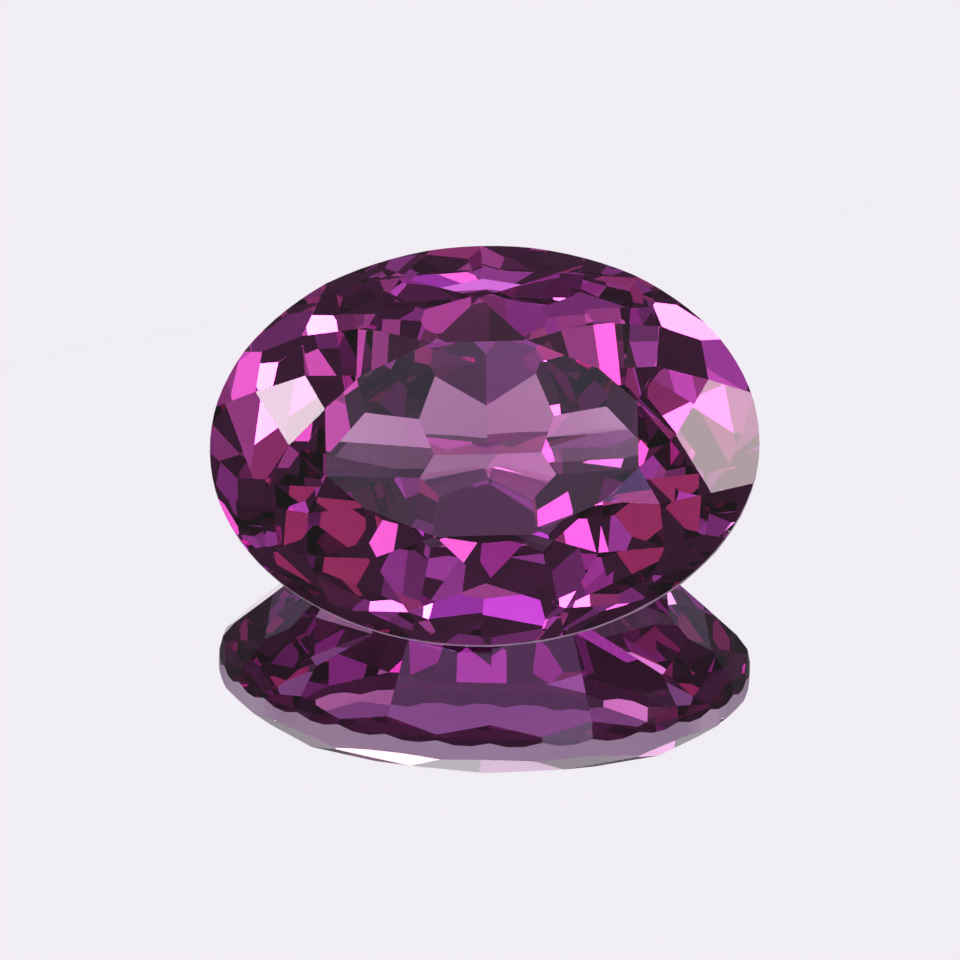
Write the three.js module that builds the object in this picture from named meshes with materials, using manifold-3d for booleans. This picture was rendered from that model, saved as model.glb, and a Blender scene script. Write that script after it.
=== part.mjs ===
// Oval cut sapphire: one stone, cut all over, leaning on a facet beside its keel.
// Millimetres, +Z up. The stone is cut in its own frame, with the girdle level,
// the long axis along X and the middle of the girdle at the origin. It is posed last.

import * as THREE from "three";
import { mergeVertices } from "three/addons/utils/BufferGeometryUtils.js";
import Module from "manifold-3d";

// Outline and depths
const LENGTH = 10.0;
const WIDTH = 7.3;
const GIRDLE_THICKNESS = 0.31;
const GIRDLE_FLATS = 96;
const CROWN_HEIGHT = 1.07;

// Crown, one quarter of it: table corners, star tips and kite tips seen from above
const TABLE_CORNER_END = [2.82, 0.6];
const TABLE_CORNER_DIAGONAL = [2.16, 1.2];
const TABLE_CORNER_SIDE = [0.87, 1.76];
const STAR_TIP_END = [3.5, 0.0];
const STAR_TIP_END_DIAGONAL = [3.18, 1.25];
const STAR_TIP_SIDE_DIAGONAL = [2.05, 2.1];
const STAR_TIP_SIDE = [0.0, 2.6];
const KITE_TIP_END = [4.11, 1.03];
const KITE_TIP_DIAGONAL = [3.24, 2.01];
const KITE_TIP_SIDE = [1.43, 3.05];

// Height of each star tip, as a share of the crown height
const STAR_HEIGHT_END = 0.76;
const STAR_HEIGHT_END_DIAGONAL = 0.79;
const STAR_HEIGHT_SIDE_DIAGONAL = 0.75;
const STAR_HEIGHT_SIDE = 0.7;

// Half of the angle of the oval that the foot of a crown triangle spans, in degrees
const TRIANGLE_HALF_ANGLE = 9.0;

// Pose: the lean toward -Y and the rise of the +X end. The rest facet's plane crosses the
// stone's axis this far below the girdle.
const LEAN = 29.67;
const END_RISE = 2.58;
const REST_DEPTH = 4.123;

// Pavilion facets in the order they are cut, each one on the +X and the -X side. "turn" is
// the angle between the way the facet looks and the Y axis, "slope" is its angle to the
// girdle plane, and "at" is the point where it starts on the facets cut before it. Facets
// look toward -Y on the near side of the keel and toward +Y on the far side.
const KEEL_FACETS = [
  { side: "near", turn: 78.0, slope: 13.5, at: [0.0, -0.42] },
  { side: "far", turn: 33.5, slope: 23.0, at: [0.0, 0.02] },
  { side: "far", turn: 0.0, slope: 37.0, at: [0.0, 0.9] },
  { side: "far", turn: 50.0, slope: 38.0, at: [1.24, 0.67] },
  { side: "far", turn: 72.5, slope: 33.5, at: [1.24, 0.67] },
  { side: "near", turn: 54.5, slope: 38.0, at: [0.85, -0.8] },
];
const MAIN_FACETS = [
  { side: "near", turn: 42.0, slope: 48.0, at: [1.0, -2.0] },
  { side: "near", turn: 64.0, slope: 45.0, at: [3.3, -0.6] },
  { side: "far", turn: 30.0, slope: 46.0, at: [1.3, 1.7] },
  { side: "far", turn: 64.0, slope: 45.0, at: [2.3, 1.2] },
];

// Break facets round the girdle, and the narrow band of steep facets under it
const BREAK_FACETS = { count: 16, endSlope: 54.0, farSlope: 56.5, nearSlope: 63.0 };
const BAND_FACETS = { count: 32, slope: 78.0, height: 0.25 };

// Small chips in the girdle edge: angle round the oval and size
const CHIPS = [
  { angle: -28, size: 0.07 },
  { angle: 218, size: 0.06 },
];

const DEG = Math.PI / 180;
const HALF_LENGTH = LENGTH / 2;
const HALF_WIDTH = WIDTH / 2;
const GIRDLE_TOP = GIRDLE_THICKNESS / 2;
const TABLE_Z = GIRDLE_TOP + CROWN_HEIGHT;

const wasm = await Module();
wasm.setup();

// Shapes made into closed solids, and back
function solidFrom(geometry) {
  const bare = geometry.clone();
  bare.deleteAttribute("normal");
  bare.deleteAttribute("uv");
  const welded = mergeVertices(bare, 1e-5);
  const mesh = new wasm.Mesh({
    numProp: 3,
    vertProperties: new Float32Array(welded.attributes.position.array),
    triVerts: new Uint32Array(welded.index.array),
  });
  return new wasm.Manifold(mesh);
}

function geometryFrom(solid) {
  const mesh = solid.getMesh();
  const indexed = new THREE.BufferGeometry();
  indexed.setAttribute("position", new THREE.BufferAttribute(mesh.vertProperties, 3));
  indexed.setIndex(new THREE.BufferAttribute(mesh.triVerts, 1));
  return indexed;
}

// Facet planes, with the normal pointing out of the stone
function pavilionPlane(azimuth, slope, point) {
  const across = Math.sin(slope * DEG);
  const x = across * Math.cos(azimuth * DEG);
  const y = across * Math.sin(azimuth * DEG);
  const normal = new THREE.Vector3(x, y, -Math.cos(slope * DEG));
  return new THREE.Plane().setFromNormalAndCoplanarPoint(normal, point);
}

function through(a, b, c) {
  const plane = new THREE.Plane().setFromCoplanarPoints(a, b, c);
  if (plane.normal.z < 0) {
    plane.negate();
  }
  return plane;
}

function pointOn(plane, [x, y]) {
  const z = (-plane.constant - plane.normal.x * x - plane.normal.y * y) / plane.normal.z;
  return new THREE.Vector3(x, y, z);
}

// The same facet in all four quarters; copies that coincide are cut once
function inQuarters(plane) {
  const copies = [];
  for (const sx of [1, -1]) {
    for (const sy of [1, -1]) {
      const normal = new THREE.Vector3(plane.normal.x * sx, plane.normal.y * sy, plane.normal.z);
      if (!copies.some((copy) => copy.normal.distanceTo(normal) < 1e-6)) {
        copies.push(new THREE.Plane(normal, plane.constant));
      }
    }
  }
  return copies;
}

// Everything outside a plane is ground away
function grind(stone, plane) {
  const block = new THREE.BoxGeometry(40, 40, 40);
  block.translate(0, 0, 20);
  const turn = new THREE.Quaternion();
  turn.setFromUnitVectors(new THREE.Vector3(0, 0, 1), plane.normal);
  block.applyQuaternion(turn);
  const foot = plane.coplanarPoint(new THREE.Vector3());
  block.translate(foot.x, foot.y, foot.z);
  return stone.subtract(solidFrom(block));
}

// Crown: the table, star facets round it, kites, the facets between them, and triangles
function crownPlanes() {
  const corners = [TABLE_CORNER_END, TABLE_CORNER_DIAGONAL, TABLE_CORNER_SIDE];
  const [c1, c2, c3] = corners.map(([x, y]) => new THREE.Vector3(x, y, TABLE_Z));
  const starTip = ([x, y], share) => new THREE.Vector3(x, y, GIRDLE_TOP + CROWN_HEIGHT * share);
  const s0 = starTip(STAR_TIP_END, STAR_HEIGHT_END);
  const s1 = starTip(STAR_TIP_END_DIAGONAL, STAR_HEIGHT_END_DIAGONAL);
  const s2 = starTip(STAR_TIP_SIDE_DIAGONAL, STAR_HEIGHT_SIDE_DIAGONAL);
  const s3 = starTip(STAR_TIP_SIDE, STAR_HEIGHT_SIDE);
  const over = (v, sx, sy) => new THREE.Vector3(v.x * sx, v.y * sy, v.z);

  const table = new THREE.Plane(new THREE.Vector3(0, 0, 1), -TABLE_Z);
  const stars = [
    through(c1, over(c1, 1, -1), s0),
    through(c1, c2, s1),
    through(c2, c3, s2),
    through(c3, over(c3, -1, 1), s3),
  ];
  const kites = [through(c1, s0, s1), through(c2, s1, s2), through(c3, s2, s3)];
  const tips = [KITE_TIP_END, KITE_TIP_DIAGONAL, KITE_TIP_SIDE];
  const [t1, t2, t3] = tips.map((tip, i) => pointOn(kites[i], tip));
  const between = [
    through(s0, t1, over(t1, 1, -1)),
    through(s1, t1, t2),
    through(s2, t2, t3),
    through(s3, t3, over(t3, -1, 1)),
  ];
  const triangles = [t1, t2, t3].map((tip) => {
    const middle = Math.atan2(tip.y / HALF_WIDTH, tip.x / HALF_LENGTH);
    const half = TRIANGLE_HALF_ANGLE * DEG;
    return through(tip, onGirdle(middle - half), onGirdle(middle + half));
  });
  const cuts = [...stars, ...kites, ...between, ...triangles];
  return [table, ...cuts.flatMap(inQuarters)];
}

function onGirdle(angle) {
  const x = HALF_LENGTH * Math.cos(angle);
  const y = HALF_WIDTH * Math.sin(angle);
  return new THREE.Vector3(x, y, GIRDLE_TOP);
}

// Pavilion: the rest facet, the keel facets, the mains, and the facets round the girdle.
// A facet that is turned from the Y axis has a twin on the -X side.
function pavilionPlanes(pose) {
  const down = new THREE.Vector3(0, 0, -1).applyQuaternion(pose.clone().invert());
  const foot = new THREE.Vector3(0, 0, -REST_DEPTH);
  const planes = [new THREE.Plane().setFromNormalAndCoplanarPoint(down, foot)];
  for (const { side, turn, slope, at } of [...KEEL_FACETS, ...MAIN_FACETS]) {
    const start = pointOn(highest(planes, at), at);
    const outward = side === "near" ? -90 + turn : 90 - turn;
    planes.push(pavilionPlane(outward, slope, start));
    if (turn > 0) {
      start.x = -start.x;
      planes.push(pavilionPlane(180 - outward, slope, start));
    }
  }
  for (let i = 0; i < BREAK_FACETS.count; i += 1) {
    planes.push(breakPlane(((i + 0.5) * 360) / BREAK_FACETS.count));
  }
  for (let i = 0; i < BAND_FACETS.count; i += 1) {
    planes.push(bandPlane(((i + 0.5) * 360) / BAND_FACETS.count));
  }
  return planes;
}

// The facet that bounds the stone from below at a point seen from above
function highest(planes, at) {
  const levels = planes.map((plane) => pointOn(plane, at).z);
  return planes[levels.indexOf(Math.max(...levels))];
}

// A break facet starts at the foot of the band, and its slope follows the side it is on
function breakPlane(angle) {
  const { azimuth, touch } = underGirdle(angle);
  const { endSlope, farSlope, nearSlope } = BREAK_FACETS;
  const sideways = Math.sin(azimuth * DEG);
  const sideSlope = sideways > 0 ? farSlope : nearSlope;
  const slope = endSlope + (sideSlope - endSlope) * sideways ** 2;
  const inset = BAND_FACETS.height / Math.tan(BAND_FACETS.slope * DEG);
  touch.x -= inset * Math.cos(azimuth * DEG);
  touch.y -= inset * Math.sin(azimuth * DEG);
  touch.z -= BAND_FACETS.height;
  return pavilionPlane(azimuth, slope, touch);
}

function bandPlane(angle) {
  const { azimuth, touch } = underGirdle(angle);
  return pavilionPlane(azimuth, BAND_FACETS.slope, touch);
}

// The point of the oval under the girdle at an angle, and the way the oval looks there
function underGirdle(angle) {
  const touch = onGirdle(angle * DEG).setZ(-GIRDLE_TOP);
  const azimuth = Math.atan2(touch.y / HALF_WIDTH ** 2, touch.x / HALF_LENGTH ** 2) / DEG;
  return { azimuth, touch };
}

// The oval blank, standing proud of the table and the keel
function blank() {
  const height = TABLE_Z + REST_DEPTH + 1;
  const geometry = new THREE.CylinderGeometry(1, 1, height, GIRDLE_FLATS);
  geometry.rotateX(Math.PI / 2);
  geometry.scale(HALF_LENGTH, HALF_WIDTH, 1);
  geometry.translate(0, 0, (TABLE_Z - REST_DEPTH) / 2);
  return solidFrom(geometry);
}

function chip(stone, { angle, size }) {
  const flake = new THREE.IcosahedronGeometry(size, 1);
  const edge = onGirdle(angle * DEG);
  flake.translate(edge.x, edge.y, edge.z);
  return stone.subtract(solidFrom(flake));
}

const pose = new THREE.Quaternion().setFromAxisAngle(new THREE.Vector3(0, 1, 0), -END_RISE * DEG);
pose.multiply(new THREE.Quaternion().setFromAxisAngle(new THREE.Vector3(1, 0, 0), LEAN * DEG));

let stone = blank();
for (const plane of [...crownPlanes(), ...pavilionPlanes(pose)]) {
  stone = grind(stone, plane);
}
for (const spot of CHIPS) {
  stone = chip(stone, spot);
}

// Lean the stone onto its rest facet, centre it and give every facet its own flat normal
const posed = geometryFrom(stone);
posed.applyQuaternion(pose);
posed.computeBoundingBox();
const box = posed.boundingBox;
posed.translate(-(box.min.x + box.max.x) / 2, -(box.min.y + box.max.y) / 2, -box.min.z);
const faceted = posed.toNonIndexed();
faceted.computeVertexNormals();

const polished = new THREE.MeshStandardMaterial({ color: 0x6a1f6e, roughness: 0.05, metalness: 0.0 });
const sapphire = new THREE.Mesh(faceted, polished);
sapphire.name = "sapphire";

const part = new THREE.Group();
part.name = "oval_cut_sapphire";
part.add(sapphire);

export default part;
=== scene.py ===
import math

import bmesh
import bpy
import numpy as np
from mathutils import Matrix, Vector


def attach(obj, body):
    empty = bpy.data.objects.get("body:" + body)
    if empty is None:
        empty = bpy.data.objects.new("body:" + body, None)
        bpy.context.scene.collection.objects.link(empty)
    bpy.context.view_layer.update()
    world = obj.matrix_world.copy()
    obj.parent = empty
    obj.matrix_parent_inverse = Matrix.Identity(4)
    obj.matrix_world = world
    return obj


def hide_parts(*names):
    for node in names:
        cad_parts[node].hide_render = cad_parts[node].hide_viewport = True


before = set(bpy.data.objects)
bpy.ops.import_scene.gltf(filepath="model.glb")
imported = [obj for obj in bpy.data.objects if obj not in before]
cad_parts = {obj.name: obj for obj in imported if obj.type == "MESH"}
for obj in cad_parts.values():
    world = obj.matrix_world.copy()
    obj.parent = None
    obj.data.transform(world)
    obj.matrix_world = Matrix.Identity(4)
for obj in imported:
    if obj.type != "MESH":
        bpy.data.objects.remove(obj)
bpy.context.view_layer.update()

# The stone
# One crystal of sapphire, cut and polished flat by flat on a lap. The facet edges are
# crisp, with only the hair of roundness that polishing leaves, and the girdle band
# round the widest part is finely ground instead of polished.
MM = 0.001
WELD_WITHIN = 0.0002 * MM
FLAT_WITHIN = math.radians(0.6)
EDGE_ROUNDING = 0.010 * MM
ROUNDING_STEPS = 2
EDGE_ABOVE = math.radians(4.5)
UPRIGHT_WITHIN = 0.03
REFRACTIVE_INDEX = 1.77
BODY_COLOUR = (0.65, 0.067, 0.557, 1.0)
BODY_DENSITY = 300.0
POLISHED_TINT = (1.0, 1.0, 1.0, 1.0)
GROUND_TINT = (0.98, 0.76, 0.98, 1.0)
GROUND_ROUGHNESS = 0.35
GROUND_CLEARNESS = 0.4
GRAIN_PER_METRE = 40000.0
GRAIN_DETAIL = 3.0
PIT_STRENGTH = 0.6
PIT_DEPTH = 0.002 * MM


def sapphire_finish(name, roughness, clear, tint):
    """Clear crystal: light passes the surface and is absorbed along its path inside."""
    material = bpy.data.materials.new(name)
    material.use_nodes = True
    tree = material.node_tree
    tree.nodes.clear()
    surface = tree.nodes.new("ShaderNodeBsdfPrincipled")
    surface.inputs["Base Color"].default_value = tint
    surface.inputs["Roughness"].default_value = roughness
    surface.inputs["IOR"].default_value = REFRACTIVE_INDEX
    surface.inputs["Transmission Weight"].default_value = clear
    body = tree.nodes.new("ShaderNodeVolumeAbsorption")
    body.inputs["Color"].default_value = BODY_COLOUR
    body.inputs["Density"].default_value = BODY_DENSITY
    output = tree.nodes.new("ShaderNodeOutputMaterial")
    tree.links.new(surface.outputs["BSDF"], output.inputs["Surface"])
    tree.links.new(body.outputs["Volume"], output.inputs["Volume"])
    return material


# The solid's triangles are welded, and those in one plane become one facet again.
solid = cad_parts["sapphire"]
stone_mesh = solid.data.copy()
stone_mesh.name = "sapphire_cut"
cut = bmesh.new()
cut.from_mesh(stone_mesh)
bmesh.ops.remove_doubles(cut, verts=cut.verts, dist=WELD_WITHIN)
bmesh.ops.dissolve_limit(cut, angle_limit=FLAT_WITHIN, verts=cut.verts, edges=cut.edges)
cut.to_mesh(stone_mesh)
cut.free()
stone = bpy.data.objects.new("sapphire_cut", stone_mesh)
bpy.context.scene.collection.objects.link(stone)

# The grain of the ground band is a fine noise that pits the surface.
polished = sapphire_finish("sapphire_polished", 0.0, 1.0, POLISHED_TINT)
ground = sapphire_finish("sapphire_ground_girdle", GROUND_ROUGHNESS, GROUND_CLEARNESS, GROUND_TINT)
ground_tree = ground.node_tree
place = ground_tree.nodes.new("ShaderNodeTexCoord")
grain = ground_tree.nodes.new("ShaderNodeTexNoise")
grain.inputs["Scale"].default_value = GRAIN_PER_METRE
grain.inputs["Detail"].default_value = GRAIN_DETAIL
pits = ground_tree.nodes.new("ShaderNodeBump")
pits.inputs["Strength"].default_value = PIT_STRENGTH
pits.inputs["Distance"].default_value = PIT_DEPTH
ground_surface = ground_tree.nodes["Principled BSDF"]
ground_tree.links.new(place.outputs["Object"], grain.inputs["Vector"])
ground_tree.links.new(grain.outputs["Fac"], pits.inputs["Height"])
ground_tree.links.new(pits.outputs["Normal"], ground_surface.inputs["Normal"])

# The table is the largest facet, and the girdle's flats stand square to it.
stone_mesh.materials.clear()
stone_mesh.materials.append(polished)
stone_mesh.materials.append(ground)
table = max(stone_mesh.polygons, key=lambda face: face.area)
table_normal = table.normal.copy()
for face in stone_mesh.polygons:
    face.use_smooth = False
    upright = abs(face.normal.dot(table_normal)) < UPRIGHT_WITHIN
    face.material_index = 1 if upright else 0

rounding = stone.modifiers.new("edge rounding", "BEVEL")
rounding.width = EDGE_ROUNDING
rounding.segments = ROUNDING_STEPS
rounding.limit_method = "ANGLE"
rounding.angle_limit = EDGE_ABOVE
rounding.use_clamp_overlap = True
rounding.loop_slide = False
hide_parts("sapphire")
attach(stone, "root")

# The surface under the stone
# A sheet of polished pale metal, flat and level, that the rest facet lies on. It sits a
# hair below the stone, and shows the stone and the pale room in it.
SHEET_HALF = 300 * MM
SHEET_GAP = 0.004 * MM
SHEET_COLOUR = (0.945, 0.915, 0.965, 1.0)
floor_mesh = bpy.data.meshes.new("floor")
corners = SHEET_HALF * np.array([(-1, -1), (1, -1), (1, 1), (-1, 1)], dtype=float)
floor_points = np.column_stack([corners, np.full(len(corners), -SHEET_GAP)])
floor_mesh.from_pydata(floor_points.tolist(), [], [(0, 1, 2, 3)])
floor = bpy.data.objects.new("floor", floor_mesh)
bpy.context.scene.collection.objects.link(floor)
pale = bpy.data.materials.new("pale_polished_sheet")
pale.use_nodes = True
pale_surface = pale.node_tree.nodes["Principled BSDF"]
pale_surface.inputs["Base Color"].default_value = SHEET_COLOUR
pale_surface.inputs["Metallic"].default_value = 1.0
pale_surface.inputs["Roughness"].default_value = 0.0
floor_mesh.materials.append(pale)

# The room and its lights
# A dim grey studio. Pale cards stand behind the stone, where the polished sheet shows
# them as its plain ground. Broad dim panels and small lamps, half a metre away, stand
# overhead, in front and on both sides, and give the facets their steps of light and dark.
GIRDLE_CENTRE = Vector((-0.004, -0.077, 3.579)) * MM
BOX_DISTANCE = 0.5
ROOM_GREY = (0.125, 0.118, 0.13, 1.0)
WHITE = (1.0, 1.0, 1.0)
WARM = (1.0, 0.68, 0.70)
COOL = (0.74, 0.68, 1.0)
BLUSH = (1.0, 0.83, 0.86)
ROSE = (1.0, 0.52, 0.45)
PLUM = (0.85, 0.40, 1.0)
VIOLET = (0.58, 0.34, 1.0)
room = bpy.data.worlds.new("dim_studio")
room.use_nodes = True
bpy.context.scene.world = room
room_light = room.node_tree.nodes["Background"]
room_light.inputs["Color"].default_value = ROOM_GREY
room_light.inputs["Strength"].default_value = 1.0


def toward(azimuth, elevation, distance):
    """A point seen from the stone at an azimuth from +X and an elevation, in degrees."""
    a, e = math.radians(azimuth), math.radians(elevation)
    ray = Vector((math.cos(e) * math.cos(a), math.cos(e) * math.sin(a), math.sin(e)))
    return GIRDLE_CENTRE + ray * distance


def facing_stone(point):
    """The turn that points a light or a camera at the stone."""
    return (GIRDLE_CENTRE - point).to_track_quat("-Z", "Y").to_euler()


def soft_box(name, azimuth, elevation, across, upright, strength, colour=WHITE):
    """A glowing panel that faces the stone, as wide and high as two angles in degrees.

    Its power is pi times its area times its strength, which makes it look as bright as
    a surface of that strength, whatever its size."""
    panel = bpy.data.lights.new(name, "AREA")
    panel.shape = "RECTANGLE"
    panel.size = 2 * BOX_DISTANCE * math.tan(math.radians(across / 2))
    panel.size_y = 2 * BOX_DISTANCE * math.tan(math.radians(upright / 2))
    panel.energy = strength * math.pi * panel.size * panel.size_y
    panel.color = colour
    light = bpy.data.objects.new(name, panel)
    light.location = toward(azimuth, elevation, BOX_DISTANCE)
    light.rotation_euler = facing_stone(light.location)
    light.visible_camera = False
    bpy.context.scene.collection.objects.link(light)


# Cards and panels behind the stone, seen in the sheet and through the far facets.
soft_box("card_behind", 90, 54, 12, 12, 0.30)
soft_box("card_margin", 91, 50.5, 25, 19, 0.51)
soft_box("far_wall", 90, 6, 120, 12, 0.45, COOL)
soft_box("far_card_low", 97, 24.5, 24, 9, 0.75)
soft_box("far_card_left", 117, 10, 8, 12, 1.6)
soft_box("far_card_right", 61, 14.5, 18, 8, 0.8)
soft_box("far_panel_left", 120, 67.5, 9, 9, 0.45)
soft_box("far_panel_right", 60, 67, 9, 9, 0.45)
soft_box("far_panel_high", 90, 79, 14, 9, 1.0)
soft_box("far_side_panel_left", 156, 45, 9, 9, 1.0)
soft_box("far_side_panel_right", 31, 48, 9, 9, 0.8)
soft_box("far_corner_panel_left", 143, 51, 8, 7, 1.0, COOL)
soft_box("far_corner_panel_right", 50, 57, 6, 6, 1.5)
soft_box("far_low_lamp_left", 142, 25, 14, 6, 2.5)
soft_box("far_low_lamp_right", 26, 18, 7, 7, 4.0)

# Broad dim panels overhead and at the two sides.
soft_box("ceiling_panel", 90, 74, 50, 22, 0.12)
soft_box("overhead_panel", 0, 90, 24, 24, 1.0)
soft_box("high_panel_left", 207, 59, 20, 16, 0.75, WARM)
soft_box("high_panel_right", 325, 62, 20, 14, 0.75, WARM)
soft_box("end_panel_left", 220, 74, 7, 6, 1.5, COOL)
soft_box("end_panel_right", 347, 67, 12, 9, 0.8, WARM)
soft_box("side_panel_left", 214, 34, 14, 20, 0.7, COOL)
soft_box("side_panel_right", 318, 36, 16, 14, 0.75, COOL)

# Panels in front: a high one in the table, the others through the near facets.
soft_box("table_panel", 259, 66, 22, 10, 0.45, COOL)
soft_box("front_panel", 270, 44, 34, 16, 1.1, COOL)
soft_box("front_panel_high_left", 248, 57, 12, 8, 0.9, PLUM)
soft_box("front_panel_high_right", 304, 54, 12, 8, 0.9, PLUM)
soft_box("front_panel_left", 246, 19, 8, 8, 1.5, COOL)
soft_box("front_panel_right", 300, 23, 14, 7, 1.5, COOL)
soft_box("front_card_left", 255.5, 32, 5, 5, 1.1, PLUM)
soft_box("front_card_right", 289, 20.5, 8, 5, 1.2, COOL)
soft_box("low_panel_front", 270, 3.5, 30, 5, 2.5, COOL)
soft_box("low_panel_left", 230, 7, 22, 10, 1.15, ROSE)
soft_box("low_panel_right", 312, 5, 22, 9, 1.1, ROSE)

# Small bright lamps, each seen as a few flashes.
soft_box("lamp_left", 184, 36, 8, 10, 7.5)
soft_box("lamp_right", -8, 29.5, 9, 12, 5.0, BLUSH)
soft_box("lamp_end_left", 172, 37, 6, 8, 2.5, COOL)
soft_box("lamp_end_right", 8, 42, 6, 8, 2.5, COOL)
soft_box("lamp_low_left", 215, 5, 6, 5, 6.0, WARM)
soft_box("lamp_front_left", 251, 38, 5, 5, 2.6, VIOLET)
soft_box("lamp_front_violet", 295, 39.5, 7, 6, 1.8, VIOLET)
soft_box("lamp_front_right", 292, 33, 5, 5, 4.0)
soft_box("lamp_front_high", 241, 56, 5, 5, 4.0)
soft_box("lamp_high_left", 208, 64, 7, 6, 14.0)
soft_box("lamp_high_front", 270, 73, 5, 5, 26.0)
soft_box("lamp_high_right", 296, 75, 7, 5, 2.5)
soft_box("lamp_side_right", 323, 68, 5, 5, 13.0)
soft_box("lamp_overhead_left", 204, 81, 5, 5, 5.5, WARM)
soft_box("lamp_overhead_near", 301, 83, 4, 3.6, 24.0)

# The camera
# Looks down at the stone nearly square to its table, from far enough away that the
# stone is drawn almost without perspective. The lens and the sensor are in millimetres.
CAMERA_DISTANCE = 0.160
CAMERA_AZIMUTH = -90
CAMERA_ELEVATION = 54.15
LENS = 330.0
SENSOR = 36.0
FRAMING_SHIFT = (-0.0046, -0.0357)
NEAREST_DRAWN = 0.01
FARTHEST_DRAWN = 10.0
camera_data = bpy.data.cameras.new("camera")
camera_data.lens = LENS
camera_data.sensor_width = SENSOR
camera_data.shift_x, camera_data.shift_y = FRAMING_SHIFT
camera_data.clip_start = NEAREST_DRAWN
camera_data.clip_end = FARTHEST_DRAWN
camera = bpy.data.objects.new("camera", camera_data)
camera.location = toward(CAMERA_AZIMUTH, CAMERA_ELEVATION, CAMERA_DISTANCE)
camera.rotation_euler = facing_stone(camera.location)
bpy.context.scene.collection.objects.link(camera)
bpy.context.scene.camera = camera

# Light crosses the stone many times before it leaves, so its paths are long ones.
CROSSINGS = 32
REFLECTIONS = 16
bpy.context.scene.view_settings.view_transform = "Standard"
bpy.context.scene.cycles.max_bounces = CROSSINGS
bpy.context.scene.cycles.transmission_bounces = CROSSINGS
bpy.context.scene.cycles.glossy_bounces = REFLECTIONS
bpy.context.scene.cycles.sample_clamp_indirect = 0.0
